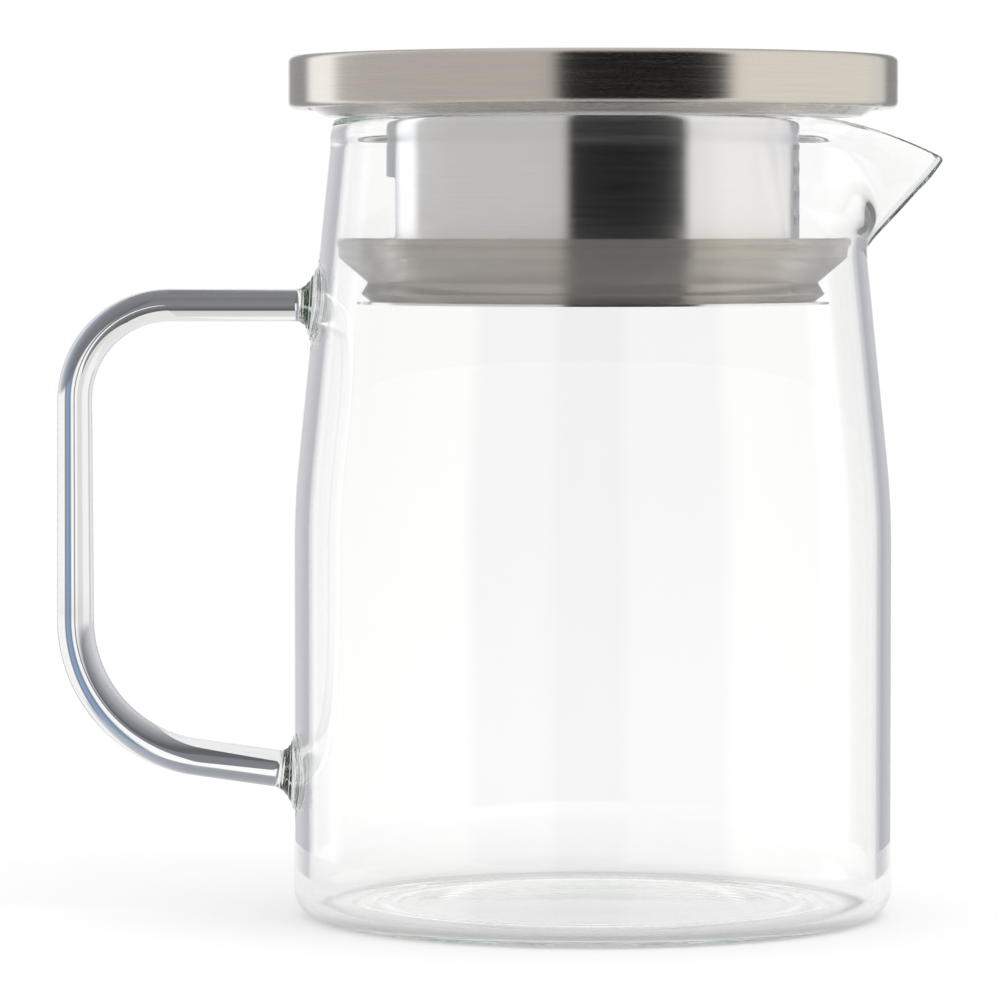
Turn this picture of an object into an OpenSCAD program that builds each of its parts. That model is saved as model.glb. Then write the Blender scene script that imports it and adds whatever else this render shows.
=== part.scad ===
// Glass pitcher with a strainer lid: a blown vessel with a pulled spout and a welded rod
// handle, closed by a hollow steel lid whose collar hangs in the neck through a soft seal.
// Millimetres, +Z up. The origin is on the vessel's axis at the table, the spout points to +X
// and the handle to -X.

/* [Vessel] */
// Height of the glass from the table to its rim
glass_h = 139.3; // [125:0.1:200]
// Outside diameter of the straight lower part
body_d = 104.6; // [98:0.1:125]
// Outside diameter of the neck at the rim
neck_d = 90.8; // [84:0.1:95]
// Height at which the straight wall turns into the leaning neck
shoulder_h = 72.1; // [60:0.1:80]
// Radius of the soft bend at that height
shoulder_r = 150; // [60:1:220]
// Thickness of the glass wall
wall = 2.6; // [2:0.1:3.2]
// Thickness of the glass base
base_t = 2; // [1.6:0.1:5]
// Radius of the outside corner at the base
corner_r = 4.8; // [3:0.1:7]
// Height to which the underside rises at its middle
kick = 0.8; // [0.3:0.1:2]
// Extra thickness of the fire-polished bead round the rim
bead_t = 0.2; // [0:0.05:0.5]
// Height of that bead
bead_h = 3.5; // [2:0.1:5]

/* [Spout] */
// How far the tip stands out beyond the neck's rim
spout_reach = 15.5; // [8:0.1:22]
// How far the lip dips from the rim to the tip
spout_dip = 6.4; // [2:0.1:10]
// Depth below the rim at which the spout starts to swell
spout_root = 23.8; // [18:0.1:30]
// Thickness of the drawn-out glass at the tip
tip_t = 1.3; // [1:0.1:2]
// Half of the angle of the rim that is drawn out
spout_a = 34; // [24:1:45]
// Half of the angle over which the nose is rounded
nose_a = 2.5; // [1.5:0.1:6]

/* [Handle] */
// Diameter of the glass rod at the upper arm
rod_d = 5.7; // [4.5:0.1:8]
// Diameter of the rod at the lower arm
rod_low_d = 6.5; // [4.5:0.1:8]
// Space for the fingers between the body and the grip
finger_gap = 35; // [28:0.5:45]
// Depth of the upper arm's middle below the rim
arm_drop = 32.6; // [30:0.1:45]
// Height of the lower weld's middle above the table
weld_h = 25.1; // [16:0.1:32]
// Slope of the lower arm
arm_tilt = 8; // [0:1:14]
// Radius of the upper bend, to the middle of the rod
bend_top_r = 16.6; // [10:0.1:22]
// Radius of the lower bend, to the middle of the rod
bend_low_r = 24.3; // [12:0.1:28]
// Radius of the glass gathered round each weld
gather_r = 6.9; // [5:0.1:8]
// Length of that gather along the arm
gather_l = 3.2; // [2:0.1:5]

/* [Lid] */
// How far the lid's side overhangs the widest of what lies below it
lid_overhang = 0.8; // [0.2:0.1:4]
// Height of the lid's side
lid_h = 9.1; // [7:0.1:16]
// Thickness of the sheet steel
sheet = 0.4; // [0.4:0.1:0.8]
// Outside radius of the lid's rolled edges
roll_r = 1.1; // [1:0.1:2]
// Width of the hem that the side turns in at its foot
hem_w = 2.2; // [2:0.1:3]
// Depth of the pressed underside below the lid's side
pan_depth = 1.3; // [0.9:0.1:2]
// Width of the flat seat that rests over the glass
pan_seat_w = 1.5; // [1:0.1:2]

/* [Strainer collar] */
// Room for the liquid between the collar and the neck at the rim
pour_gap = 6.75; // [5:0.05:9]
// Clearance between the collar's foot and the mouth of the neck
mouth_gap = 1.6; // [1:0.1:3]
// Diameter of a strainer hole
hole_d = 2.6; // [1.5:0.1:3]
// Distance between the centres of neighbouring holes
hole_pitch = 4.25; // [3.6:0.05:4.5]
// Height of the lowest holes' centres above the seal
hole_lift = 3.7; // [2.4:0.1:4]
// Number of holes in a column
hole_rows = 4; // [2:1:4]
// Number of columns on each side of the spout's middle
hole_pairs = 3; // [1:1:4]
// Width of the pouring window
window_w = 24.6; // [14:0.1:32]
// Height of the pouring window
window_h = 10.6; // [6:0.1:15]

/* [Seal] */
// Depth of the seal's top below the rim
seal_drop = 21; // [20:0.1:24]
// Height of the seal
seal_h = 10.9; // [9:0.1:14]
// Height of its upper sealing lip
lip_h = 3.6; // [2.5:0.1:4]
// Radial room between the upper lip and the glass
lip_gap = 0.25; // [0.2:0.05:0.5]
// Height of the half-round rib along the lip's upper edge
rib_h = 1.8; // [1.2:0.1:2.4]
// How far that rib stands out from the lip's face
rib_w = 0.3; // [0.1:0.05:0.4]
// Radial thickness of the seal's sleeve on the collar
sleeve_t = 3.3; // [2:0.1:4]
// Height of the sleeve's waist above the seal's foot
sleeve_h = 3.2; // [2.7:0.1:4]
// Distance that the lower lip's edge stands out from the waist
low_lip_w = 1; // [0.6:0.1:2]
// Height of the lower lip's edge above the seal's foot
low_lip_h = 1.3; // [1:0.1:2]

/* [Hidden] */
$fn = 96;

// Clearances: lid over glass, steel in steel or in the seal, seal over the collar's foot
seat_gap = 0.3;
fit_gap = 0.05;
rest_gap = 0.1;
// Overrun of every cut
over = 1;

// Vessel: radii, the neck's lean, its flat standing ring, its inside corner and its rim
body_r = body_d / 2;
neck_r = neck_d / 2;
lean = atan((body_r - neck_r) / (glass_h - shoulder_h));
foot_w = 2.5;
in_corner_r = max(corner_r - base_t, base_t / 2);
straight_h = glass_h - wall / 2;

// Neck: height where the pulled zone starts, and how far the turned vessel runs up into it
root_h = glass_h - spout_root;
weld_lap = 2;

// Shares of the distance from root to tip that bend the spout's pour line at its two ends
root_share = 0.12;
tip_share = 0.75;
// How fast the pull fades away from the nose, and how closely the stations crowd to it
fade_power = 2.1;
crowd_power = 1.3;

// Facets of the pulled neck: round the spout, round the rest, up the wall and over the rim
spout_steps = 32;
neck_steps = 54;
rise_steps = 15;
rim_steps = 4;
// Steps in a turned arc
arc_steps = 8;

// Handle: line of the grip, and the two arms
grip_x = body_r + finger_gap + rod_low_d / 2;
arm_h = glass_h - arm_drop;
low_bend_h = weld_h + (grip_x - bend_low_r - body_r) * tan(arm_tilt) + bend_low_r / cos(arm_tilt);
gather_edge = gather_l / 8;
// The lower arm starts inside the bend's end, and is thinner by a hair to lie wholly in it
arm_lap = rod_low_d / 16;
arm_inset = arm_lap / 16;

// Lid: heights of its faces and radii of the pan, covering the body or a seat that is wider
seat_h = glass_h + seat_gap;
skirt_h = seat_h + pan_depth;
lid_top = skirt_h + lid_h;
pan_flat_r = neck_r + pan_seat_w;
lid_r = max(body_r, pan_flat_r + pan_depth + hem_w + roll_r) + lid_overhang;
pan_slope_r = lid_r - roll_r - hem_w - fit_gap;

// Collar and seal: both hang from the mouth's radius and the seal's height
mouth_r = neck_r - wall;
collar_r = mouth_r - pour_gap;
seal_top = glass_h - seal_drop;
seal_low = seal_top - seal_h;
foot_top = seal_low - rest_gap;
foot_low = foot_top - sheet;
foot_r = mouth_r - mouth_gap;
sill_h = seal_top + rest_gap;
column_a = hole_pitch / collar_r * 180 / PI;
first_hole_h = seal_top + hole_lift;
bore_r = collar_r + fit_gap;
sleeve_r = collar_r + sleeve_t;

GLASS = [0.86, 0.93, 0.92, 0.45];
STEEL = "silver";
SILICONE = [0.70, 0.71, 0.71];

// Outside and inside radius of the leaning neck at height z
function neck_at(z) = neck_r + (glass_h - z) * tan(lean);
function neck_in(z) = neck_at(z) - wall / cos(lean);

// Points of an arc about c in the plane of a profile, from angle a to angle b
function arc(c, r, a, b, steps = arc_steps) =
    [for (i = [0:steps]) c + r * [cos(a + (b - a) * i / steps), sin(a + (b - a) * i / steps)]];

// Wall line at inset t from the outside: straight side, soft shoulder and leaning neck up to z
function side_line(t, z) =
    let (bend = shoulder_r - t,
         turn = shoulder_r * tan(lean / 2),
         mid = [body_r - shoulder_r, shoulder_h - turn])
    concat(arc(mid, bend, 0, lean), [[neck_at(z) - t / cos(lean), z]]);

// Outside of the vessel from the middle of its underside up to height z
function outer_line(z) = concat(
    [[0, kick], [body_r - corner_r - foot_w, 0]],
    arc([body_r - corner_r, corner_r], corner_r, -90, 0),
    side_line(0, z));

// Inside of the vessel from height z down to the middle of its floor
function inner_line(z) = let (up = concat(
    [[0, base_t + kick / 2], [body_r - wall - in_corner_r, base_t]],
    arc([body_r - wall - in_corner_r, base_t + in_corner_r], in_corner_r, -90, 0),
    side_line(wall, z))) [for (i = [len(up) - 1:-1:0]) up[i]];

// Strength of the pull at angle a from the spout's middle: 1 at the nose and 0 beyond spout_a
function pull(a) =
    let (far = sqrt(spout_a ^ 2 + nose_a ^ 2) - nose_a,
         q = (sqrt(a ^ 2 + nose_a ^ 2) - nose_a) / far)
    q < 1 ? (1 - q) ^ fade_power : 0;

// Rise of the untouched neck, and the pour line in the spout's middle plane, at share s
function plain_line(s) = let (z = root_h + s * (straight_h - root_h)) [neck_at(z), z];
tip = [neck_r + spout_reach, straight_h - spout_dip];
root = plain_line(0);
function pour_line(s) =
    let (b = root + root_share * norm(tip - root) * [-sin(lean), cos(lean)],
         c = tip + tip_share * (root - tip))
    (1 - s) ^ 3 * root + 3 * s * (1 - s) ^ 2 * b + 3 * s ^ 2 * (1 - s) * c + s ^ 3 * tip;
function pulled_line(s, w) = plain_line(s) + w * (pour_line(s) - plain_line(s));

// Direction up the wall and direction out of it, in the plane through the axis
function unit(v) = v / norm(v);
function rise_at(s, w, ds = 1 / rise_steps / arc_steps) =
    unit(pulled_line(s + ds, w) - pulled_line(s - ds, w));
function out_at(s, w) = let (d = rise_at(s, w)) [d.y, -d.x];

// Thickness of the drawn glass, and the swell of the rim's bead
function drawn_t(s, w) = wall - (wall - tip_t) * w * s;
function bead_at(s) =
    let (x = (s - 1) * (straight_h - root_h) / bead_h) x > -1 ? bead_t * sin(-180 * x) : 0;

// Profile of the pulled zone at strength w: up the outside, over the rim and down the inside
function zone_line(w) = concat(
    [for (i = [0:rise_steps]) let (s = i / rise_steps) pulled_line(s, w) + bead_at(s) * out_at(s, w)],
    [for (i = [1:rim_steps - 1])
        let (t = drawn_t(1, w) / 2, n = out_at(1, w), a = 180 * i / rim_steps)
        pulled_line(1, w) - t * n + t * (cos(a) * n + sin(a) * rise_at(1, w))],
    [for (i = [rise_steps:-1:0]) let (s = i / rise_steps) pulled_line(s, w) - drawn_t(s, w) * out_at(s, w)]);

// Angles of the stations round the neck, closer together at the nose
stations = concat(
    [for (i = [0:spout_steps - 1])
        let (u = 2 * i / spout_steps - 1) spout_a * sign(u) * abs(u) ^ crowd_power],
    [for (i = [0:neck_steps - 1]) spout_a + (360 - 2 * spout_a) * i / neck_steps]);

// Lets the flats of the pulled zone enclose the turned vessel where the two overlap
flat_lap = neck_at(root_h) * (1 / cos(180 / neck_steps) - 1);

// The pulled zone as one closed skin over all stations
module pulled_zone() {
    lines = [for (a = stations) zone_line(pull(a > 180 ? a - 360 : a))];
    n = len(lines[0]);
    m = len(stations);
    points = [for (k = [0:m - 1]) for (i = [0:n - 1])
        let (p = lines[k][i] + [i < n / 2 ? flat_lap : -flat_lap / 4, 0])
        [p.x * cos(stations[k]), p.x * sin(stations[k]), p.y]];
    faces = [for (k = [0:m - 1]) for (i = [0:n - 1])
        let (j = (i + 1) % n, here = k * n, next = (k + 1) % m * n)
        each [[here + i, here + j, next + j], [here + i, next + j, next + i]]];
    polyhedron(points, faces, convexity = 6);
}

// Vessel turned as a solid, for cutting what is welded to its outside
module vessel_solid() {
    rotate_extrude() polygon(concat(outer_line(straight_h), [[0, straight_h]]));
}

module glass_body() {
    color(GLASS) union() {
        rotate_extrude() polygon(concat(outer_line(root_h + weld_lap), inner_line(root_h + weld_lap)));
        pulled_zone();
    }
}

// Glass drawn out round a weld, from the rod's radius to gather_r at the wall, along -X
module gather(rod_r, depth) {
    rise = gather_r - rod_r;
    rotate([0, -90, 0]) rotate_extrude() polygon(concat(
        [[0, -depth], [gather_r, -depth], [gather_r, gather_edge]],
        [for (i = [1:arc_steps]) let (a = 90 * i / arc_steps)
            [gather_r - rise * sin(a), gather_l - (gather_l - gather_edge) * cos(a)]],
        [[0, gather_l]]));
}

module handle() {
    top_r = rod_d / 2;
    low_r = rod_low_d / 2;
    top_x = neck_at(arm_h);
    bend_top_h = arm_h - bend_top_r;
    bend_top_x = grip_x - bend_top_r;
    low_x = grip_x - bend_low_r;
    turn = 90 - arm_tilt;
    arm_end = [low_x + bend_low_r * sin(arm_tilt), low_bend_h - bend_low_r * cos(arm_tilt)];
    low_l = (arm_end.x - body_r) / cos(arm_tilt);
    color(GLASS) difference() {
        union() {
            translate([-bend_top_x, 0, arm_h]) rotate([0, 90, 0])
                cylinder(r = top_r, h = bend_top_x - top_x + wall);
            translate([-bend_top_x, 0, bend_top_h]) rotate([90, 0, 0])
                rotate_extrude(angle = 90, start = 90) translate([bend_top_r, 0]) circle(top_r);
            translate([-grip_x, 0, low_bend_h]) cylinder(r1 = low_r, r2 = top_r, h = bend_top_h - low_bend_h);
            translate([-low_x, 0, low_bend_h]) rotate([90, 0, 0])
                rotate_extrude(angle = turn, start = 180) translate([bend_low_r, 0]) circle(low_r);
            translate([-arm_end.x, 0, arm_end.y]) rotate([0, 90 + arm_tilt, 0])
                translate([0, 0, -arm_lap]) cylinder(r = low_r - arm_inset, h = arm_lap + low_l + wall);
            translate([-top_x, 0, arm_h]) gather(top_r, wall);
            translate([-body_r, 0, weld_h]) rotate([0, arm_tilt, 0]) gather(low_r, wall);
        }
        vessel_solid();
    }
}

// Drum of the lid: one sheet, rounded at the top and turned in at the foot as a hem
module lid_cap() {
    roll_in = roll_r - sheet;
    top_c = [lid_r - roll_r, lid_top - roll_r];
    low_c = [lid_r - roll_r, skirt_h + roll_r];
    hem_r = lid_r - roll_r - hem_w;
    color(STEEL) rotate_extrude() polygon(concat(
        [[0, lid_top - sheet]],
        arc(top_c, roll_in, 90, 0), arc(low_c, roll_in, 0, -90),
        [[hem_r, skirt_h + sheet], [hem_r, skirt_h]],
        arc(low_c, roll_r, -90, 0), arc(top_c, roll_r, 0, 90),
        [[0, lid_top]]));
}

// Pressed underside: its edge lies on the hem and its flat middle rests over the glass
module lid_pan() {
    edge_h = skirt_h + sheet;
    edge_r = lid_r - roll_r - fit_gap;
    color(STEEL) rotate_extrude() polygon([
        [0, seat_h], [pan_flat_r, seat_h],
        [pan_slope_r, edge_h], [edge_r, edge_h],
        [edge_r, edge_h + sheet], [pan_slope_r - sheet / 2, edge_h + sheet],
        [pan_flat_r - sheet / 2, seat_h + sheet], [0, seat_h + sheet]]);
}

// Middles of the strainer holes as [angle, height], in a square grid with the spout's middle
// between two columns
pairs = round(hole_pairs);
rows = round(hole_rows);
holes = [for (c = [1 / 2 - pairs:pairs - 1 / 2], r = [0:rows - 1])
    [c * column_a, first_hole_h + r * hole_pitch]];

// Collar: a tube that is open below, turned out at its foot, with strainer and pouring window
module strainer_collar() {
    in_r = collar_r - sheet;
    half_w = window_w / 2;
    corner = roll_r;
    color(STEEL) difference() {
        rotate_extrude() polygon([
            [in_r, foot_low], [foot_r, foot_low], [foot_r, foot_top], [collar_r, foot_top],
            [collar_r, seat_h], [in_r, seat_h]]);
        for (h = holes) rotate([0, 0, h[0]]) translate([in_r - over, 0, h[1]]) rotate([0, 90, 0])
            cylinder(d = hole_d, h = sheet + 2 * over);
        translate([-collar_r - over, 0, sill_h]) {
            translate([0, -half_w, corner]) cube([collar_r, window_w, window_h - 2 * corner]);
            translate([0, corner - half_w, 0]) cube([collar_r, window_w - 2 * corner, window_h]);
            for (y = [corner - half_w, half_w - corner], z = [corner, window_h - corner])
                translate([0, y, z]) rotate([0, 90, 0]) cylinder(r = corner, h = collar_r);
        }
    }
}

// Soft ring on the collar: a flared upper lip with a rib on the glass, a waist and a sharp lower lip
module seal() {
    rib_r = rib_h / 2;
    face_r = neck_in(seal_top) - lip_gap - rib_w;
    nose = lip_h / 6;
    low_nose = low_lip_w / 4;
    color(SILICONE) rotate_extrude() polygon(concat(
        [[bore_r, seal_low], [sleeve_r - low_lip_w / 2, seal_low]],
        arc([sleeve_r + low_lip_w - low_nose, seal_low + low_lip_h], low_nose, -45, 30),
        [[sleeve_r, seal_low + sleeve_h]],
        arc([face_r - nose, seal_top - lip_h + nose], nose, -60, 0),
        arc([face_r + rib_w - rib_r, seal_top - rib_r], rib_r, -acos(1 - rib_w / rib_r), 90),
        [[bore_r, seal_top]]));
}

glass_body();
handle();
lid_cap();
lid_pan();
strainer_collar();
seal();
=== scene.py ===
# Glass pitcher with a strainer lid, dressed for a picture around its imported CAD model.
# The blown glass and its welded handle become one smooth mesh, the soft seal gets its real lips,
# and the steel of the lid keeps its CAD shape and gets its brushing.
import math

import bmesh
import bpy
import numpy as np
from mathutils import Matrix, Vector


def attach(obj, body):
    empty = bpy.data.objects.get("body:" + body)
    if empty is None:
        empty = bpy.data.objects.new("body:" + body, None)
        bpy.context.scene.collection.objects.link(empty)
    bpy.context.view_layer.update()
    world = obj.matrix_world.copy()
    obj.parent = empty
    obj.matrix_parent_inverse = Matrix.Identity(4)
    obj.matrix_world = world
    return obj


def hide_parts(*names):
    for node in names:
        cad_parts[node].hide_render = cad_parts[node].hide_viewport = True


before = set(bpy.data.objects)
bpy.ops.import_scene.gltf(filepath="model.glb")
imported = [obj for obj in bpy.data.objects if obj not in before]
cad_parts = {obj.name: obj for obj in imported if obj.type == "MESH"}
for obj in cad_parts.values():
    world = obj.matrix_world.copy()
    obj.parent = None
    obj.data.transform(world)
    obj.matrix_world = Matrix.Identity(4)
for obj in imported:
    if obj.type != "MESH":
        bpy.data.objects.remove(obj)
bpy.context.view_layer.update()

MM = 0.001
TURN = 2 * math.pi

# Sizes of the part in millimetres, as in its CAD source

# Vessel: heights and radii, the bend of the shoulder, the wall and the base, the bead at the rim
GLASS_H, BODY_R, NECK_R = 139.3, 52.3, 45.4
SHOULDER_H, SHOULDER_R = 72.1, 150.0
WALL, BASE_T, CORNER_R, IN_CORNER_R, KICK, FOOT_W = 2.6, 2.0, 4.8, 2.8, 0.8, 2.5
BEAD_T, BEAD_H = 0.2, 3.5
LEAN = math.atan((BODY_R - NECK_R) / (GLASS_H - SHOULDER_H))
STRAIGHT_H = GLASS_H - WALL / 2

# Spout: how far and over which angle it is pulled, and the shares that bend its pour line
SPOUT_REACH, SPOUT_DIP, SPOUT_ROOT, TIP_T = 15.5, 6.4, 23.8, 1.3
SPOUT_A, NOSE_A, FADE_POWER, CROWD_POWER = 34.0, 2.5, 2.1, 1.3
ROOT_SHARE, TIP_SHARE = 0.12, 0.75
ROOT_H = GLASS_H - SPOUT_ROOT

# Handle: radii of the rod, which grows round its upper bend, its line and its welds
ROD_R, ROD_GRIP_R, ROD_LOW_R, FINGER_GAP = 2.85, 3.05, 3.25, 35.0
ARM_H, WELD_H, ARM_TILT = GLASS_H - 32.6, 25.1, math.radians(8)
BEND_TOP_R, BEND_LOW_R = 16.6, 24.3
GATHER_R, GATHER_L = 6.9, 3.2
GRIP_X = BODY_R + FINGER_GAP + ROD_LOW_R

# Seal: the collar that carries it, and its two lips
COLLAR_R, FIT_GAP, LIP_GAP = 36.05, 0.05, 0.25
SEAL_TOP, SEAL_H, LIP_H = 118.3, 10.9, 3.6
RIB_H, RIB_W, SLEEVE_T, SLEEVE_H = 1.8, 0.3, 3.3, 3.2
LOW_LIP_W, LOW_LIP_H = 1.0, 1.3

# Sizes that only the picture needs: rings that turning the blank left in its bottom, ripples of
# the gathered glass round a weld, and how the gather hollows and rises from the wall
WAVE_H, WAVES_FROM, WAVES_TO, WAVES = 0.05, 30.0, 46.5, 4
RIPPLE_H, RIPPLES = 0.07, 6
GATHER_SKIRT, HOLLOW_POWER, RISE_POWER = 1.2, 1.15, 0.9
# Round the seal: radius of its waist's corner, and the angle from which an edge stays sharp
WAIST_R, SHARP_A = 0.4, 50

# Cells of the glass mesh. Round the vessel: spout, back and the port where an arm is welded on
SPOUT_CELLS, BACK_CELLS, PORT_CELLS = 96, 109, 20
# Up the vessel: underside, standing ring, corners, the lower and the middle side, and the pulled
# zone; then the rim, the inside of the wall and the inside of the base
UNDER_ROWS, RING_ROWS, CORNER_ROWS, LOW_ROWS, SIDE_ROWS, ZONE_ROWS = 39, 3, 14, 10, 60, 44
RIM_ROWS, INSIDE_ROWS, FLOOR_ROWS = 8, 89, 119
# Along the handle: an arm, the two bends, the grip, and the wall and the gather round a weld
ARM_ROWS, TOP_BEND_ROWS, LOW_BEND_ROWS, GRIP_ROWS = 15, 36, 40, 29
SKIRT_ROWS, GATHER_ROWS = 5, 55
# Round the seal, and along the arcs of its profile: a small corner, the upper lip and the rib
SEAL_CELLS, CORNER_CELLS, LIP_CELLS, RIB_CELLS = 240, 6, 8, 14
# Where the ports stand: their edge in degrees from the spout, and half the height of each, the
# upper one up to the root of the spout; and the radius where a skin closes over the axis
PORT_A, PORT_TOP, PORT_LOW = 170, ROOT_H - ARM_H, 9.0
CENTRE_R = 0.4


# Mesh helpers
def new_piece(name, points, faces, material):
    """A mesh object from points in millimetres and lists of corner numbers."""
    mesh = bpy.data.meshes.new(name)
    mesh.from_pydata([tuple(p) for p in np.asarray(points, float) * MM], [], faces)
    mesh.validate()
    shell = bmesh.new()
    shell.from_mesh(mesh)
    bmesh.ops.recalc_face_normals(shell, faces=shell.faces)
    shell.to_mesh(mesh)
    shell.free()
    mesh.update()
    mesh.materials.append(material)
    mesh.polygons.foreach_set("use_smooth", [True] * len(mesh.polygons))
    piece = bpy.data.objects.new(name, mesh)
    bpy.context.scene.collection.objects.link(piece)
    return piece


def arc(centre, radius, start, end, steps):
    """Points of an arc in the plane of a profile, angles in degrees, both ends included."""
    a = np.radians(np.linspace(start, end, steps + 1))
    return np.stack([centre[0] + radius * np.cos(a), centre[1] + radius * np.sin(a)], 1)


def lathe(profile, stations):
    """A closed skin turned from a closed profile of (radius, height) over stations in radians."""
    profile = np.asarray(profile, float)
    n, m = len(profile), len(stations)
    a = np.asarray(stations)[:, None]
    points = np.stack([profile[:, 0] * np.cos(a), profile[:, 0] * np.sin(a),
                       profile[:, 1] + 0 * a], -1).reshape(-1, 3)
    faces = [(k * n + i, (k + 1) % m * n + i, (k + 1) % m * n + (i + 1) % n, k * n + (i + 1) % n)
             for k in range(m) for i in range(n)]
    return points, faces


# Vessel: radii of its two skins, and the pulled spout
def neck_at(z):
    """Outside radius of the leaning neck at height z."""
    return NECK_R + (GLASS_H - z) * math.tan(LEAN)


def side_radius(z, inset):
    """Radius of the wall at height z: straight side, soft shoulder, leaning neck."""
    bend_low = SHOULDER_H - SHOULDER_R * math.tan(LEAN / 2)
    bend = SHOULDER_R - inset
    if z <= bend_low:
        return BODY_R - inset
    if z <= bend_low + bend * math.sin(LEAN):
        return BODY_R - SHOULDER_R + math.sqrt(bend ** 2 - (z - bend_low) ** 2)
    return neck_at(z) - inset / math.cos(LEAN)


def pull(angle):
    """Strength of the spout's pull at an angle in degrees from its middle."""
    far = math.hypot(SPOUT_A, NOSE_A) - NOSE_A
    q = (math.hypot(angle, NOSE_A) - NOSE_A) / far
    return (1 - q) ** FADE_POWER if q < 1 else 0.0


def plain_line(s):
    """The neck's outside as radius and height, where nothing is pulled: s from 0, the root, to 1."""
    z = ROOT_H + s * (STRAIGHT_H - ROOT_H)
    return np.array([neck_at(z), z])


def pour_line(s):
    """The outside along the spout's middle: a curve that leaves the neck and runs out to the tip."""
    root = plain_line(0)
    tip = np.array([NECK_R + SPOUT_REACH, STRAIGHT_H - SPOUT_DIP])
    b = root + ROOT_SHARE * np.linalg.norm(tip - root) * np.array([-math.sin(LEAN), math.cos(LEAN)])
    c = tip + TIP_SHARE * (root - tip)
    return (1 - s) ** 3 * root + 3 * s * (1 - s) ** 2 * b + 3 * s ** 2 * (1 - s) * c + s ** 3 * tip


def pulled_line(s, w):
    """The outside where the pull has the strength w, from 0 to 1."""
    return plain_line(s) + w * (pour_line(s) - plain_line(s))


def rise_at(s, w, step=0.005):
    """Direction in which the pulled line climbs."""
    d = pulled_line(s + step, w) - pulled_line(s - step, w)
    return d / np.linalg.norm(d)


def bead_at(s):
    """How far the fire-polished bead stands out near the rim."""
    x = (s - 1) * (STRAIGHT_H - ROOT_H) / BEAD_H
    return BEAD_T * math.sin(-math.pi * x) if x > -1 else 0.0


def zone_line(w):
    """Profile of the pulled zone: up the outside, over the rim and down the inside."""
    outer, inner = [], []
    for s in np.linspace(0, 1, ZONE_ROWS + 1):
        p, d = pulled_line(s, w), rise_at(s, w)
        out = np.array([d[1], -d[0]])
        outer.append(p + bead_at(s) * out)
        inner.append(p - (WALL - (WALL - TIP_T) * w * s) * out)
    t = (WALL - (WALL - TIP_T) * w) / 2
    middle = p - t * out
    rim = [middle + t * (math.cos(a) * out + math.sin(a) * d)
           for a in np.linspace(0, math.pi, RIM_ROWS + 1)[1:-1]]
    return np.array(outer + rim + inner[::-1])


def floor_wave(r):
    """The rings in the inside of the base, seen as fine lines near its edge."""
    share = (r - WAVES_FROM) / (WAVES_TO - WAVES_FROM)
    if not 0 < share < 1:
        return 0.0
    return WAVE_H * math.sin(math.pi * share) ** 2 * math.sin(WAVES * TURN * share)


def rows_between(*marks):
    """Heights through the marks, each given with the number of cells up to it."""
    heights = [marks[0]]
    for end, cells in marks[1:]:
        heights += list(np.linspace(heights[-1], end, cells + 1)[1:])
    return heights


def vessel_angles():
    """Stations round the vessel in radians, close together at the spout's nose and at the ports."""
    side = np.linspace(-1, 1, SPOUT_CELLS + 1)
    side = np.abs(side) ** CROWD_POWER * np.sign(side) * SPOUT_A
    back = np.linspace(SPOUT_A, PORT_A, BACK_CELLS + 1)[1:]
    port = np.linspace(PORT_A, 360 - PORT_A, PORT_CELLS + 1)[1:]
    return np.radians(np.concatenate([side, back, port, 360 - back[::-1][1:]]))


def vessel_grid():
    """The stations' angles, the profiles as [station, row], and the two ports' lowest rows."""
    angles = vessel_angles()
    foot_r = BODY_R - CORNER_R - FOOT_W
    under = [(r, KICK * 0.5 * (1 + math.cos(math.pi * r / foot_r)))
             for r in np.linspace(CENTRE_R, foot_r, UNDER_ROWS + 1)]
    under += [(r, 0) for r in np.linspace(foot_r, foot_r + FOOT_W, RING_ROWS + 1)[1:]]
    corner = arc((BODY_R - CORNER_R, CORNER_R), CORNER_R, -90, 0, CORNER_ROWS)[1:]
    low_rows = rows_between(CORNER_R, (WELD_H - PORT_LOW, LOW_ROWS), (WELD_H + PORT_LOW, PORT_CELLS),
                            (ARM_H - PORT_TOP, SIDE_ROWS), (ROOT_H, PORT_CELLS))[1:-1]
    side = [(side_radius(z, 0), z) for z in low_rows]
    outside = np.array(under + [tuple(p) for p in corner] + side)

    floor_r = BODY_R - WALL - IN_CORNER_R
    floor = [(r, BASE_T + KICK / 4 * (1 + math.cos(math.pi * r / floor_r)) + floor_wave(r))
             for r in np.linspace(CENTRE_R, floor_r, FLOOR_ROWS + 1)[:-1]]
    in_corner = arc((floor_r, BASE_T + IN_CORNER_R), IN_CORNER_R, -90, 0, CORNER_ROWS)
    in_side = [(side_radius(z, WALL), z)
               for z in np.linspace(BASE_T + IN_CORNER_R, ROOT_H, INSIDE_ROWS + 1)[1:-1]]
    inside = np.array(floor + [tuple(p) for p in in_corner] + in_side)[::-1]

    pulls = [pull(math.degrees(a if a < math.pi else a - TURN)) for a in angles]
    profiles = np.array([np.concatenate([outside, zone_line(w), inside]) for w in pulls])
    low_port = len(under) + len(corner) + LOW_ROWS - 1
    return angles, profiles, (low_port, low_port + PORT_CELLS + SIDE_ROWS)


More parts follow.
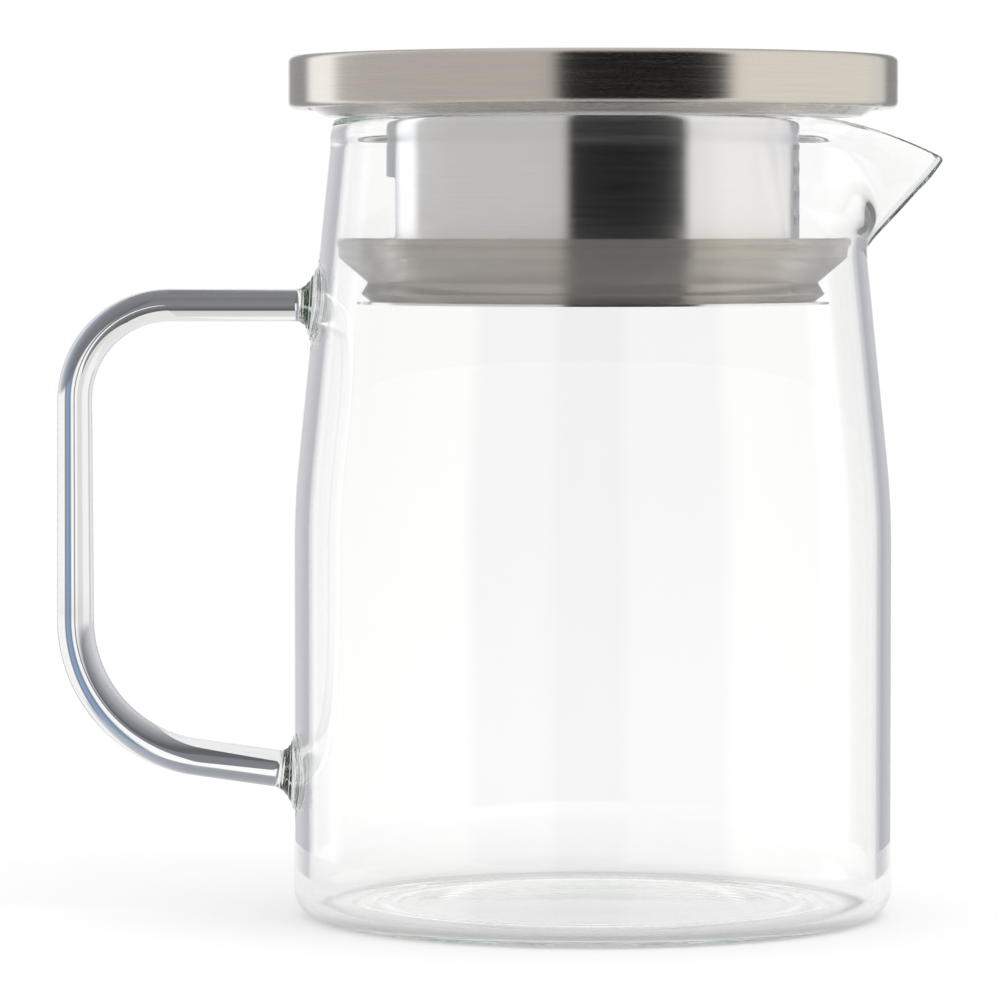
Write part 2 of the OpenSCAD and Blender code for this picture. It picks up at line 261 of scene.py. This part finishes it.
def rod_path():
    """Middle line of the handle with its radius, from the upper weld's end to the lower one's."""
    tilt_sin, tilt_cos = math.sin(ARM_TILT), math.cos(ARM_TILT)
    low_bend_h = WELD_H + (GRIP_X - BEND_LOW_R - BODY_R) * math.tan(ARM_TILT) + BEND_LOW_R / tilt_cos
    top_c = (GRIP_X - BEND_TOP_R, ARM_H - BEND_TOP_R)
    low_c = (GRIP_X - BEND_LOW_R, low_bend_h)
    arm = np.linspace(neck_at(ARM_H) + GATHER_L, top_c[0], ARM_ROWS + 1)[:-1]
    points = [(x, ARM_H, ROD_R) for x in arm]
    top_bend = arc(top_c, BEND_TOP_R, 90, 0, TOP_BEND_ROWS)[:-1]
    points += [(p[0], p[1], ROD_R + (ROD_GRIP_R - ROD_R) * i / TOP_BEND_ROWS)
               for i, p in enumerate(top_bend)]
    for z in np.linspace(top_c[1], low_bend_h, GRIP_ROWS + 1)[:-1]:
        growth = (ROD_LOW_R - ROD_GRIP_R) * (top_c[1] - z) / (top_c[1] - low_bend_h)
        points.append((GRIP_X, z, ROD_GRIP_R + growth))
    low_bend = arc(low_c, BEND_LOW_R, 0, math.degrees(ARM_TILT) - 90, LOW_BEND_ROWS)[:-1]
    points += [(p[0], p[1], ROD_LOW_R) for p in low_bend]
    bend_end = np.array([low_c[0] + BEND_LOW_R * tilt_sin, low_c[1] - BEND_LOW_R * tilt_cos])
    weld = np.array([BODY_R + GATHER_L * tilt_cos, WELD_H + GATHER_L * tilt_sin])
    for t in np.linspace(0, 1, ARM_ROWS + 1):
        p = bend_end + t * (weld - bend_end)
        points.append((p[0], p[1], ROD_LOW_R))
    return points


def weld_rings(edge, height, tilt, rod_r):
    """Rings of points from the port's edge on the vessel out to the rod: over the wall, up the
    concave gather, and round the rod. edge holds the points of the port's edge in turn."""
    n = len(edge)
    along = np.array([-math.cos(tilt), 0, math.sin(tilt)])
    up = np.array([math.sin(tilt), 0, math.cos(tilt)])
    foot = np.array([-side_radius(height, 0), 0, height])
    start = math.atan2(edge[0][2] - height, edge[0][1])
    flat_edge = [np.array([p[1], p[2] - height]) for p in edge]
    skirt_r = GATHER_R + GATHER_SKIRT
    rings = []
    stages = [("wall", t) for t in np.linspace(0, 1, SKIRT_ROWS + 1)[1:-1]]
    stages += [("gather", t) for t in np.linspace(0, 1, GATHER_ROWS + 1)]
    for kind, t in stages:
        ring = []
        for i in range(n):
            even = start - TURN * i / n
            round_it = np.array([math.cos(even), math.sin(even)])
            if kind == "wall":
                flat = (1 - t) * flat_edge[i] + t * skirt_r * round_it
                rise, blend = 0.0, 0.0
            else:
                q = math.pi / 2 * t
                radius = rod_r + (skirt_r - rod_r) * (1 - math.sin(q)) ** HOLLOW_POWER
                rise = GATHER_L * (1 - math.cos(q)) ** RISE_POWER
                rise += RIPPLE_H * math.sin(RIPPLES * TURN * t) * math.sin(math.pi * t) ** 2
                flat = radius * round_it
                blend = t * t * (3 - 2 * t)
            y, z = flat[0], height + flat[1]
            skin = np.array([-math.sqrt(side_radius(z, 0) ** 2 - y ** 2), y, z]) + rise * along
            tube = foot + rise * along + flat[0] * np.array([0, 1, 0]) + flat[1] * up
            ring.append((1 - blend) * skin + blend * tube)
        rings.append(ring)
    return rings


def rod_rings(sides, begin):
    """Rings of points round the handle's middle line, between its two ends."""
    path = rod_path()
    rings = []
    for i, (x, z, radius) in enumerate(path[1:-1], 1):
        ahead = np.array([path[i + 1][0] - path[i - 1][0], path[i + 1][1] - path[i - 1][1]])
        ahead /= np.linalg.norm(ahead)
        up = np.array([ahead[1], 0, ahead[0]])
        turns = [begin - TURN * j / sides for j in range(sides)]
        spokes = [math.cos(a) * np.array([0, 1, 0]) + math.sin(a) * up for a in turns]
        rings.append([np.array([-x, 0, z]) + radius * spoke for spoke in spokes])
    return rings


def port_edge(station, row, rows):
    """Numbers of the points round a port's edge, from the middle of its foot."""
    steps, n = range(PORT_CELLS), PORT_CELLS
    loop = [(station + i, row) for i in steps] + [(station + n, row + i) for i in steps]
    loop += [(station + n - i, row + n) for i in steps] + [(station, row + n - i) for i in steps]
    edge = [a * rows + b for a, b in loop]
    return edge[n // 2:] + edge[:n // 2]


def vessel_faces(stations, rows, ports):
    """Faces of the vessel's skin, without the cells inside the ports."""
    inside_port = {(k + i, r + j)
                   for k, r in ports for i in range(PORT_CELLS) for j in range(PORT_CELLS)}
    faces = []
    for k in range(stations):
        here, after = k * rows, (k + 1) % stations * rows
        faces += [(here + j, after + j, after + j + 1, here + j + 1)
                  for j in range(rows - 1) if (k, j) not in inside_port]
    return faces


def glass_mesh():
    """The vessel, its spout and its handle as one closed skin."""
    angles, profiles, (low_port, top_port) = vessel_grid()
    m, n = profiles.shape[:2]
    points = [np.array([p[0] * math.cos(a), p[0] * math.sin(a), p[1]])
              for a, line in zip(angles, profiles) for p in line]
    first = int(np.argmin(np.abs(angles - math.radians(PORT_A))))
    ports = [(first, low_port), (first, top_port)]
    faces = vessel_faces(m, n, ports)
    for row, height in ((0, profiles[0][0][1]), (n - 1, profiles[0][-1][1])):
        middle = len(points)
        points.append(np.array([0, 0, height]))
        for k in range(m):
            a, b = k * n + row, (k + 1) % m * n + row
            faces.append((middle, b, a) if row == 0 else (middle, a, b))

    def bridge(a, b):
        """Adds the faces between two rings of as many points."""
        for i in range(len(a)):
            j = (i + 1) % len(a)
            faces.append((a[i], a[j], b[j], b[i]))

    def join(ring, steps):
        """Adds rings of points, each joined to the one before, and returns the last."""
        for step in steps:
            new = list(range(len(points), len(points) + len(step)))
            points.extend(step)
            bridge(ring, new)
            ring = new
        return ring

    ends = []
    welds = ((WELD_H, ARM_TILT, ROD_LOW_R), (ARM_H, 0.0, ROD_R))
    for port, (height, tilt, rod_r) in zip(ports, welds):
        edge = port_edge(*port, n)
        ends.append(join(edge, weld_rings([points[i] for i in edge], height, tilt, rod_r)))

    low, ring = ends
    sides = len(ring)
    begin = math.atan2(points[ring[0]][2] - ARM_H, points[ring[0]][1])
    ring = join(ring, rod_rings(sides, begin))
    # The rod's last ring meets the lower weld's ring, whose corners are nearest in turn
    near = min(range(sides), key=lambda i: np.linalg.norm(points[low[i]] - points[ring[0]]))
    bridge(ring, [low[(near - i) % sides] for i in range(sides)])
    return points, faces


# Materials

# Sizes of the patterns in millimetres: a streak's length on the steel, then the clouds in the
# silicone, the grain of its skin and the depth of that grain
STREAK_LENGTH = 50 / 3
CLOUD_SIZE, GRAIN_SIZE, GRAIN_DEPTH = 25 / 3, 0.4, 0.01
# How far the steel's roughness goes up and down, and the stretch of the noise that moves it
GLOSS_SPREAD, NOISE_LOW, NOISE_HIGH = 0.03, 0.3, 0.7
WHITE = "#ffffff"


def linear(code):
    """An sRGB hex colour as linear red, green and blue with a full alpha."""
    values = [int(code[i:i + 2], 16) / 255 for i in (1, 3, 5)]
    return tuple(v / 12.92 if v <= 0.04045 else ((v + 0.055) / 1.055) ** 2.4 for v in values) + (1.0,)


def add(tree, kind, settings=None, sockets=None):
    """Adds a node. settings are its own properties; sockets take a value, or another node's output.
    Of a colour mix, socket 0 is the share, 6 and 7 are the colours, and output 2 is the result."""
    node = tree.nodes.new(kind)
    for name, value in (settings or {}).items():
        setattr(node, name, value)
    for name, value in (sockets or {}).items():
        if isinstance(value, bpy.types.NodeSocket):
            tree.links.new(value, node.inputs[name])
        else:
            node.inputs[name].default_value = value
    return node


def new_material(name):
    """A material without nodes, and its node tree."""
    material = bpy.data.materials.new(name)
    material.use_nodes = True
    material.node_tree.nodes.clear()
    return material, material.node_tree


def borosilicate_glass():
    """Clear blown glass, smooth and bright. A trace of iron tints the long ways through it green."""
    material, tree = new_material("blown_borosilicate_glass")
    shader = add(tree, "ShaderNodeBsdfPrincipled", None, {
        "Base Color": linear(WHITE), "Roughness": 0.0, "IOR": 1.47, "Transmission Weight": 1.0})
    inside = add(tree, "ShaderNodeVolumeAbsorption", None, {"Color": linear("#c4dccb"), "Density": 4.0})
    add(tree, "ShaderNodeOutputMaterial", None, {
        "Surface": shader.outputs[0], "Volume": inside.outputs[0]})
    return material


def brushed_steel(name, colour, light, roughness, streak_mm, bump_mm):
    """Stainless steel sheet brushed round its axis: its reflections spread up and down, not sideways.
    The real streaks are too fine to show, so these are as wide as they need to be to be seen."""
    material, tree = new_material(name)
    place = add(tree, "ShaderNodeTexCoord")
    split = add(tree, "ShaderNodeSeparateXYZ", None, {0: place.outputs["Object"]})
    flat = add(tree, "ShaderNodeCombineXYZ", None, {0: split.outputs[0], 1: split.outputs[1]})
    radius = add(tree, "ShaderNodeVectorMath", {"operation": "LENGTH"}, {0: flat.outputs[0]})
    along, across = 1 / (STREAK_LENGTH * MM), 1 / (streak_mm * MM)
    stretched = add(tree, "ShaderNodeVectorMath", {"operation": "MULTIPLY"}, {
        0: place.outputs["Object"], 1: (along, along, across)})
    reach = add(tree, "ShaderNodeMath", {"operation": "MULTIPLY"}, {
        0: radius.outputs["Value"], 1: across})
    streaks = add(tree, "ShaderNodeTexNoise", {"noise_dimensions": "4D"}, {
        "Vector": stretched.outputs[0], "W": reach.outputs[0], "Scale": 1.0, "Detail": 3.0,
        "Roughness": 0.6})
    gloss = add(tree, "ShaderNodeMapRange", None, {
        "Value": streaks.outputs[0], "From Min": NOISE_LOW, "From Max": NOISE_HIGH,
        "To Min": roughness - GLOSS_SPREAD, "To Max": roughness + GLOSS_SPREAD})
    tone = add(tree, "ShaderNodeMix", {"data_type": "RGBA"}, {
        0: streaks.outputs[0], 6: linear(colour), 7: linear(light)})
    bump = add(tree, "ShaderNodeBump", None, {
        "Strength": 0.35, "Distance": bump_mm * MM, "Height": streaks.outputs[0]})
    way = add(tree, "ShaderNodeTangent", {"direction_type": "RADIAL", "axis": "Z"})
    shader = add(tree, "ShaderNodeBsdfPrincipled", None, {
        "Base Color": tone.outputs[2], "Metallic": 1.0, "Roughness": gloss.outputs[0],
        "Anisotropic": 0.98, "Anisotropic Rotation": 0.25, "Tangent": way.outputs[0],
        "Normal": bump.outputs[0]})
    add(tree, "ShaderNodeOutputMaterial", None, {"Surface": shader.outputs[0]})
    return material


def moulded_silicone():
    """Moulded silicone rubber: milky and translucent, with a satin skin and a faint cool sheen."""
    material, tree = new_material("moulded_silicone_rubber")
    place = add(tree, "ShaderNodeTexCoord")
    cloud = add(tree, "ShaderNodeTexNoise", None, {
        "Vector": place.outputs["Object"], "Scale": 1 / (CLOUD_SIZE * MM), "Detail": 3.0})
    tone = add(tree, "ShaderNodeMix", {"data_type": "RGBA"}, {
        0: cloud.outputs[0], 6: linear("#f8f4ee"), 7: linear("#fffbf5")})
    skin = add(tree, "ShaderNodeTexNoise", None, {
        "Vector": place.outputs["Object"], "Scale": 1 / (GRAIN_SIZE * MM), "Detail": 2.0})
    bump = add(tree, "ShaderNodeBump", None, {
        "Strength": 0.3, "Distance": GRAIN_DEPTH * MM, "Height": skin.outputs[0]})
    shader = add(tree, "ShaderNodeBsdfPrincipled", None, {
        "Base Color": tone.outputs[2], "Roughness": 0.2, "IOR": 1.3,
        "Transmission Weight": 0.84, "Normal": bump.outputs[0],
        "Sheen Weight": 0.1, "Sheen Roughness": 0.6, "Sheen Tint": linear("#b8c6e6")})
    add(tree, "ShaderNodeOutputMaterial", None, {"Surface": shader.outputs[0]})
    return material


GLASS = borosilicate_glass()
LID_STEEL = brushed_steel("brushed_stainless_steel", "#c6c1bb", "#d8d4ce",
                          roughness=0.26, streak_mm=0.35, bump_mm=0.003)
SHEET_STEEL = brushed_steel("satin_stainless_sheet", "#ebecef", "#f5f6f9",
                            roughness=0.24, streak_mm=0.3, bump_mm=0.002)
SILICONE = moulded_silicone()


# Pieces
def make_glass():
    """The vessel with the handle welded on, which is one body of glass in the real object too."""
    points, faces = glass_mesh()
    piece = new_piece("blown_glass_pitcher", points, faces, GLASS)
    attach(piece, "pitcher")
    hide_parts("glass_body", "handle")


def make_seal():
    """The seal, its profile taken from the foot of its bore round the two lips to its top."""
    rib_r = RIB_H / 2
    face_r = neck_at(SEAL_TOP) - WALL / math.cos(LEAN) - LIP_GAP - RIB_W
    bore_r, low = COLLAR_R + FIT_GAP, SEAL_TOP - SEAL_H
    waist_r, nose, low_nose = COLLAR_R + SLEEVE_T, LIP_H / 6, LOW_LIP_W / 4
    start = -math.degrees(math.acos(1 - RIB_W / rib_r))
    profile = np.concatenate([
        [(bore_r, low), (waist_r - LOW_LIP_W / 2, low)],
        arc((waist_r + LOW_LIP_W - low_nose, low + LOW_LIP_H), low_nose, -45, 30, CORNER_CELLS),
        arc((waist_r + WAIST_R, low + SLEEVE_H), WAIST_R, 210, 150, CORNER_CELLS),
        arc((face_r - nose, SEAL_TOP - LIP_H + nose), nose, -60, 0, LIP_CELLS),
        arc((face_r + RIB_W - rib_r, SEAL_TOP - rib_r), rib_r, start, 90, RIB_CELLS),
        [(bore_r, SEAL_TOP)]])
    points, faces = lathe(profile, np.linspace(0, TURN, SEAL_CELLS + 1)[:-1])
    piece = new_piece("silicone_seal_ring", points, faces, SILICONE)
    piece.data.set_sharp_from_angle(angle=math.radians(SHARP_A))
    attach(piece, "seal_ring")
    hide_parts("seal")


make_glass()
make_seal()
STEEL_PARTS = {"lid_cap": LID_STEEL, "lid_pan": LID_STEEL, "strainer_collar": SHEET_STEEL}
for node, steel in STEEL_PARTS.items():
    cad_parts[node].data.materials[0] = steel


# Studio

# What stands round the pitcher: azimuth in degrees from straight behind it, the colour seen there
# and, for a softbox, a level above white. Steel mirrors flags, softboxes and the room
STEEL_ROOM = [
    (-180, "#060607"), (-167.5, "#060607"), (-163, "#cfcbc7"), (-69, "#cdcac7"), (-62, "#ffffff", 1.3),
    (-46, "#ffffff", 1.3), (-40, "#a3a4a6"), (-15, "#a3a4a6"), (-9, "#ffffff"), (9, "#ffffff"),
    (15, "#98989a"), (34, "#98989a"), (40, "#eeeeec"), (48, "#f0eeea"), (56, "#fbf7f0"),
    (125, "#fdfaf3"), (131, "#0a0a0b"), (180, "#060607")]
# The edges of the glass wall bend past what lies close behind the pitcher
EDGE_ROOM = [
    (-180, "#6e6e72"), (-165, "#6e6e72"), (-161, "#b0aeac"), (-100, "#c4c3c2"), (-60, "#f2f2f2"),
    (-38, "#dcdce0"), (-31, "#b7b6bc"), (-26, "#bfbec4"), (-20, "#d2d1d6"), (-10, "#e8e8ea"),
    (0, "#fafafa"), (10, "#dedee2"), (20, "#c2c3c8"), (26, "#a9abb1"), (31, "#b4b5ba"),
    (38, "#d8d8dc"), (60, "#f2f2f2"), (118, "#f5f3ef"), (127, "#8a8a8c"), (140, "#6e6e72"),
    (180, "#6e6e72")]
# A glass rod squeezes the whole view behind it into bands: below the horizon, level and above
ROD_LOW = [
    (-90, "#dcdbe2"), (-42, "#cfd0d5"), (-28, "#b4b5ba"), (-16, "#97989e"), (-9, "#7d7e84"),
    (-5, "#5c5d61"), (-3.5, "#6c6d72"), (13, "#70737a"), (26, "#8b95a3"), (41, "#c9cdd4"),
    (61, "#f0f0f2")]
ROD_LEVEL = [
    (-95, "#efeef2"), (-48, "#ebeaef"), (-46.5, "#c6c6c9"), (-40.5, "#c2c2c5"), (-39, "#f5f5f6"),
    (-20.5, "#f5f5f6"), (-19, "#e2e1e0"), (-9.3, "#e2e1e0"), (-8, "#ffffff"), (3.6, "#ffffff"),
    (5, "#62748a"), (8, "#7f95ae"), (14, "#8ea4c2"), (17, "#6f7f98"), (19.2, "#858c9b"),
    (20.6, "#fbfbfa"), (90, "#fafafa")]
ROD_HIGH = [
    (-90, "#e9e9ee"), (-34, "#eaeaee"), (-29, "#e6e6e5"), (-1.3, "#e6e6e5"), (0.1, "#8e9197"),
    (9, "#9da3ab"), (21, "#b6bec8"), (29, "#f7f8f9"), (90, "#fafafa")]
# A card stands upright behind the handle. Its tones run with the height, from -180, straight down,
# to 180, straight up. Its edges are in degrees, and above the horizon the left one lies further out
CARD = [
    (-180, "#8a8b90"), (-144, "#7a7b80"), (-99, "#6a6b70"), (-18, "#84858a"), (0, "#84858a"),
    (22, "#6a6c6d"), (36, "#5a5c5b"), (42, "#d2d2d0"), (90, "#d8d8d6"), (101, "#f7f7f7"),
    (140, "#f7f7f7"), (151, "#9a9c9c"), (180, "#9a9c9c")]
CARD_LEFT, CARD_RIGHT, CARD_TOP_LEFT = -3.8, -1.6, -11.4
# How steeply a ray rises, from -1 to 1, at the horizon and at the card's top, and how far the bands
# run into each other there. Then the tone of what is steeper, in steel and in the edges of the glass
HORIZON, HORIZON_BLUR = -0.075, (-0.03, 0.01)
CARD_TOP, CARD_BLUR = 0.205, (-0.02, 0.03)
CEILING, CEILING_RISE = "#f2f1ee", (0.75, 0.9)
EDGE_CEILING, EDGE_RISE = "#ececee", (0.22, 0.4)
# Steel's room is a little brighter than its tones. Light that was mirrored more than once in the
# edges of the glass takes one tone, and light that was mirrored more than four times takes a level
# above white
MIRROR_LEVEL = 1.08
TURNED, TURNED_COLOUR = 1.5, "#d3d3da"
CAUGHT, CAUGHT_LEVEL = 4.5, 1.2

# Floor: its colour, and the light that it adds for the eye: less under the foot, as a painted shadow,
# and full beyond. The one turns into the other between two distances inside the body's radius, in
# millimetres
FLOOR_COLOUR, PAINTED_SHADOW_GLOW, FLOOR_GLOW = "#bcbcbc", 0.36, 0.52
SHADE_IN, SHADE_OUT = 7, 1
# Radius at which the table ends, in a mirror seen straight, and in a rod or a mirror behind glass
TABLE_R, NEAR_R = 140.0, 96.0
FLOOR_HALF, FLOOR_DROP = 4000, 0.02

# Lamp and camera in metres, watts and degrees, with the sensor and the lens in millimetres. The
# camera looks down a little from about 1 m away
KEY_PLACE, KEY_AIM, KEY_SIZE, KEY_POWER = (0.5, -0.4, 0.9), (0, 0, 0.05), 0.6, 2.0
CAMERA_PLACE, CAMERA_DROP, SENSOR_W, LENS = (-0.0162, -0.9975, 0.1210), 2.777, 36.0, 205.44
# Light turns many times inside the wall before it leaves it
BOUNCES = 96


def ray_kinds(tree):
    """The ray's path, and whether it was mirrored, went through one wall or rod only, into the glass
    and out again, or did that without having been mirrored."""
    path = add(tree, "ShaderNodeLightPath")
    mirror = add(tree, "ShaderNodeMath", {"operation": "GREATER_THAN"}, {
        0: path.outputs["Glossy Depth"], 1: 0.5})
    single = add(tree, "ShaderNodeMath", {"operation": "COMPARE"}, {
        0: path.outputs["Transmission Depth"], 1: 2.0, 2: 0.5})
    straight = add(tree, "ShaderNodeMath", {"operation": "SUBTRACT"}, {0: 1.0, 1: mirror.outputs[0]})
    rod = add(tree, "ShaderNodeMath", {"operation": "MULTIPLY"}, {
        0: single.outputs[0], 1: straight.outputs[0]})
    return path, mirror.outputs[0], single.outputs[0], rod.outputs[0]


def make_floor():
    """The pale table, lifted to white for the eye, with the pitcher's rendered shadow and a painted
    shadow under its foot.
    """
    material, tree = new_material("pale_studio_floor")
    path, mirror, _, rod = ray_kinds(tree)
    seen = add(tree, "ShaderNodeMath", {"operation": "MAXIMUM"}, {
        0: path.outputs["Is Camera Ray"], 1: path.outputs["Is Transmission Ray"]})
    seen = add(tree, "ShaderNodeMath", {"operation": "MAXIMUM"}, {
        0: seen.outputs[0], 1: path.outputs["Is Glossy Ray"]})
    plain = add(tree, "ShaderNodeBsdfDiffuse", None, {"Color": linear(FLOOR_COLOUR)})
    place = add(tree, "ShaderNodeTexCoord")
    reach = add(tree, "ShaderNodeVectorMath", {"operation": "LENGTH"}, {0: place.outputs["Object"]})
    # Painted shadow: the glow added for the eye is lower in a disc under the foot
    under = add(tree, "ShaderNodeMapRange", {"interpolation_type": "SMOOTHSTEP"}, {
        "Value": reach.outputs["Value"], "From Min": (BODY_R - SHADE_IN) * MM,
        "From Max": (BODY_R - SHADE_OUT) * MM, "To Min": PAINTED_SHADOW_GLOW, "To Max": FLOOR_GLOW})
    lift = add(tree, "ShaderNodeMath", {"operation": "MULTIPLY"}, {
        0: seen.outputs[0], 1: under.outputs[0]})
    glow = add(tree, "ShaderNodeEmission", None, {"Color": linear(WHITE), "Strength": lift.outputs[0]})
    both = add(tree, "ShaderNodeAddShader", None, {0: plain.outputs[0], 1: glow.outputs[0]})
    # In mirrors and rods the table ends close round the pitcher, and the room shows beyond it
    limit = add(tree, "ShaderNodeMapRange", None, {
        "Value": path.outputs["Transmission Depth"], "To Min": TABLE_R * MM, "To Max": NEAR_R * MM})
    beyond = add(tree, "ShaderNodeMath", {"operation": "GREATER_THAN"}, {
        0: reach.outputs["Value"], 1: limit.outputs[0]})
    bent = add(tree, "ShaderNodeMath", {"operation": "MAXIMUM"}, {0: mirror, 1: rod})
    gone = add(tree, "ShaderNodeMath", {"operation": "MULTIPLY"}, {
        0: bent.outputs[0], 1: beyond.outputs[0]})
    clear = add(tree, "ShaderNodeBsdfTransparent")
    shown = add(tree, "ShaderNodeMixShader", None, {
        0: gone.outputs[0], 1: both.outputs[0], 2: clear.outputs[0]})
    add(tree, "ShaderNodeOutputMaterial", None, {"Surface": shown.outputs[0]})
    corners = [(x * FLOOR_HALF, y * FLOOR_HALF, 0) for x, y in ((-1, -1), (1, -1), (1, 1), (-1, 1))]
    floor = new_piece("studio_floor", corners, [(0, 1, 2, 3)], material)
    floor.location.z = -FLOOR_DROP * MM


def lit(code, level=1):
    """A colour at a level that may lie above white."""
    return [channel * level for channel in linear(code)]


def set_stops(node, table):
    """Gives a colour ramp the stops of a table, and returns its colour."""
    stops = node.color_ramp.elements
    for i, (angle, code, *level) in enumerate(table):
        stop = stops[i] if i < 2 else stops.new(1.0)
        stop.position = (angle + 180) / 360
        stop.color = lit(code, *level)
    return node.outputs[0]


def mirrored_room(tree, path, single, rise, share):
    """What mirrors show: one room in steel, and another in the edges of the glass."""
    high = add(tree, "ShaderNodeMapRange", {"interpolation_type": "SMOOTHSTEP"}, {
        "Value": rise, "From Min": CEILING_RISE[0], "From Max": CEILING_RISE[1]})
    around = set_stops(add(tree, "ShaderNodeValToRGB", None, {0: share}), STEEL_ROOM)
    steel = add(tree, "ShaderNodeVectorMath", {"operation": "SCALE"}, {0: around, "Scale": MIRROR_LEVEL})
    steel = add(tree, "ShaderNodeMix", {"data_type": "RGBA"}, {
        0: high.outputs[0], 6: steel.outputs[0], 7: linear(CEILING)})

    steep = add(tree, "ShaderNodeMath", {"operation": "ABSOLUTE"}, {0: rise})
    steep = add(tree, "ShaderNodeMapRange", {"interpolation_type": "SMOOTHSTEP"}, {
        "Value": steep.outputs[0], "From Min": EDGE_RISE[0], "From Max": EDGE_RISE[1]})
    around = set_stops(add(tree, "ShaderNodeValToRGB", None, {0: share}), EDGE_ROOM)
    edges = add(tree, "ShaderNodeMix", {"data_type": "RGBA"}, {
        0: steep.outputs[0], 6: around, 7: linear(EDGE_CEILING)})
    turned = add(tree, "ShaderNodeMath", {"operation": "GREATER_THAN"}, {
        0: path.outputs["Glossy Depth"], 1: TURNED})
    edges = add(tree, "ShaderNodeMix", {"data_type": "RGBA"}, {
        0: turned.outputs[0], 6: edges.outputs[2], 7: linear(TURNED_COLOUR)})

    room = add(tree, "ShaderNodeMix", {"data_type": "RGBA"}, {
        0: single, 6: steel.outputs[2], 7: edges.outputs[2]})
    caught = add(tree, "ShaderNodeMath", {"operation": "GREATER_THAN"}, {
        0: path.outputs["Glossy Depth"], 1: CAUGHT})
    room = add(tree, "ShaderNodeMix", {"data_type": "RGBA"}, {
        0: caught.outputs[0], 6: room.outputs[2], 7: lit(WHITE, CAUGHT_LEVEL)})
    return room.outputs[2]


def card_behind_handle(tree, turn, rise):
    """Whether the ray looks at the card, which is wider from the horizon to its top."""
    beside = add(tree, "ShaderNodeMath", {"operation": "COMPARE"}, {
        0: rise, 1: CARD_TOP / 2, 2: CARD_TOP / 2})
    narrow = math.radians(CARD_RIGHT - CARD_LEFT) / 2
    broad = math.radians(CARD_RIGHT - CARD_TOP_LEFT) / 2
    half = add(tree, "ShaderNodeMapRange", None, {
        "Value": beside.outputs[0], "To Min": narrow, "To Max": broad})
    middle = add(tree, "ShaderNodeMath", {"operation": "SUBTRACT"}, {
        0: math.radians(CARD_RIGHT), 1: half.outputs[0]})
    card = add(tree, "ShaderNodeMath", {"operation": "COMPARE"}, {
        0: turn, 1: middle.outputs[0], 2: half.outputs[0]})
    return card.outputs[0]


def rod_bands(tree, turn, rise, share):
    """What a glass rod shows: three bands of the room, and the card."""
    level = add(tree, "ShaderNodeMapRange", {"interpolation_type": "SMOOTHSTEP"}, {
        "Value": rise, "From Min": HORIZON + HORIZON_BLUR[0], "From Max": HORIZON + HORIZON_BLUR[1]})
    above = add(tree, "ShaderNodeMapRange", {"interpolation_type": "SMOOTHSTEP"}, {
        "Value": rise, "From Min": CARD_TOP + CARD_BLUR[0], "From Max": CARD_TOP + CARD_BLUR[1]})
    low, middle, high = [set_stops(add(tree, "ShaderNodeValToRGB", None, {0: share}), table)
                         for table in (ROD_LOW, ROD_LEVEL, ROD_HIGH)]
    bands = add(tree, "ShaderNodeMix", {"data_type": "RGBA"}, {0: level.outputs[0], 6: low, 7: middle})
    bands = add(tree, "ShaderNodeMix", {"data_type": "RGBA"}, {
        0: above.outputs[0], 6: bands.outputs[2], 7: high})
    height = add(tree, "ShaderNodeMapRange", None, {"Value": rise, "From Min": -1.0})
    tones = set_stops(add(tree, "ShaderNodeValToRGB", None, {0: height.outputs[0]}), CARD)
    bands = add(tree, "ShaderNodeMix", {"data_type": "RGBA"}, {
        0: card_behind_handle(tree, turn, rise), 6: bands.outputs[2], 7: tones})
    return bands.outputs[2]


def make_world():
    """White for the eye and plain light for the object, and the room for mirrors and rods."""
    world = bpy.data.worlds.new("studio")
    bpy.context.scene.world = world
    world.use_nodes = True
    world.cycles.sampling_method = "NONE"
    tree = world.node_tree
    tree.nodes.clear()
    path, mirror, single, rod = ray_kinds(tree)
    way = add(tree, "ShaderNodeTexCoord")
    split = add(tree, "ShaderNodeSeparateXYZ", None, {0: way.outputs["Generated"]})
    rise = split.outputs[2]
    turn = add(tree, "ShaderNodeMath", {"operation": "ARCTAN2"}, {
        0: split.outputs[0], 1: split.outputs[1]})
    share = add(tree, "ShaderNodeMapRange", None, {
        "Value": turn.outputs[0], "From Min": -math.pi, "From Max": math.pi})
    plain = add(tree, "ShaderNodeMix", {"data_type": "RGBA"}, {
        0: rod, 6: linear(WHITE), 7: rod_bands(tree, turn.outputs[0], rise, share.outputs[0])})
    colour = add(tree, "ShaderNodeMix", {"data_type": "RGBA"}, {
        0: mirror, 6: plain.outputs[2], 7: mirrored_room(tree, path, single, rise, share.outputs[0])})
    glow = add(tree, "ShaderNodeBackground", None, {"Color": colour.outputs[2], "Strength": 1.0})
    add(tree, "ShaderNodeOutputWorld", None, {"Surface": glow.outputs[0]})


def make_lamp(name, place, aim, size, power):
    """A round soft lamp that lights the object and shows in no mirror."""
    data = bpy.data.lights.new(name, "AREA")
    data.shape, data.size, data.energy = "DISK", size, power
    lamp = bpy.data.objects.new(name, data)
    lamp.location = place
    lamp.rotation_euler = (Vector(aim) - Vector(place)).to_track_quat("-Z", "Y").to_euler()
    lamp.visible_glossy = lamp.visible_transmission = False
    bpy.context.scene.collection.objects.link(lamp)


def make_camera():
    """The camera of the photo's view."""
    data = bpy.data.cameras.new("camera")
    data.sensor_width, data.lens = SENSOR_W, LENS
    camera = bpy.data.objects.new("camera", data)
    camera.location = CAMERA_PLACE
    camera.rotation_euler = (math.radians(90 - CAMERA_DROP), 0, 0)
    bpy.context.scene.collection.objects.link(camera)
    bpy.context.scene.camera = camera


make_floor()
make_world()
make_lamp("soft_key", KEY_PLACE, KEY_AIM, KEY_SIZE, KEY_POWER)
make_camera()
scene = bpy.context.scene
scene.view_settings.view_transform = "Standard"
scene.cycles.max_bounces = scene.cycles.transmission_bounces = scene.cycles.glossy_bounces = BOUNCES
